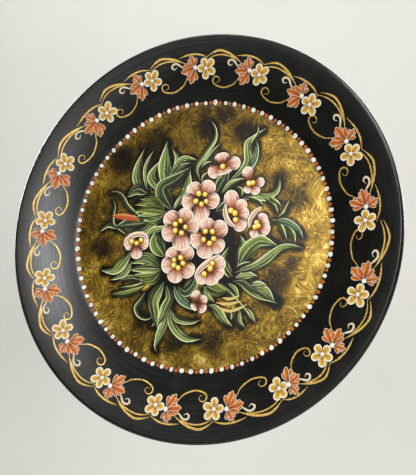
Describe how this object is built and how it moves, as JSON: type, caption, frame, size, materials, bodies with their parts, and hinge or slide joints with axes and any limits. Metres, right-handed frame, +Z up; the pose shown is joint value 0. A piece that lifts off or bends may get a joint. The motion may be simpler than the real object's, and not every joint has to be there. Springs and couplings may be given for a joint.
{
  "type": "painted round tray",
  "caption": "Round pressed-steel wall tray, black lacquered, with a gilded and flower-painted centre, a scrolled border and a swinging hanging ring behind.",
  "frame": {"origin": "centre of the flat back of the base, which lies on the wall", "axes": "+Z up as the tray hangs, -Y the way the painted face looks, +Y into the wall, +X to the right of someone facing the tray"},
  "size_m": [0.3, 0.016, 0.3],
  "materials": {
    "black_lacquer": "satin",
    "rim_steel": "satin",
    "strap_steel": "satin",
    "ring_steel": "satin",
    "gilded_ground": "satin",
    "gold_line": "satin",
    "oil_paint": "gloss"
  },
  "bodies": {
    "tray": {"tray_body": "black_lacquer", "rim_wire": "rim_steel", "hanger_strap": "strap_steel"},
    "ring": {"hanger_ring": "ring_steel"}
  },
  "joints": [
    {"name": "ring_swing", "type": "hinge", "parent": "tray", "child": "ring", "pos_m": [0, -0.00814, 0.126], "axis": [-1, 0, 0], "range_deg": [-15, 160]}
  ]
}
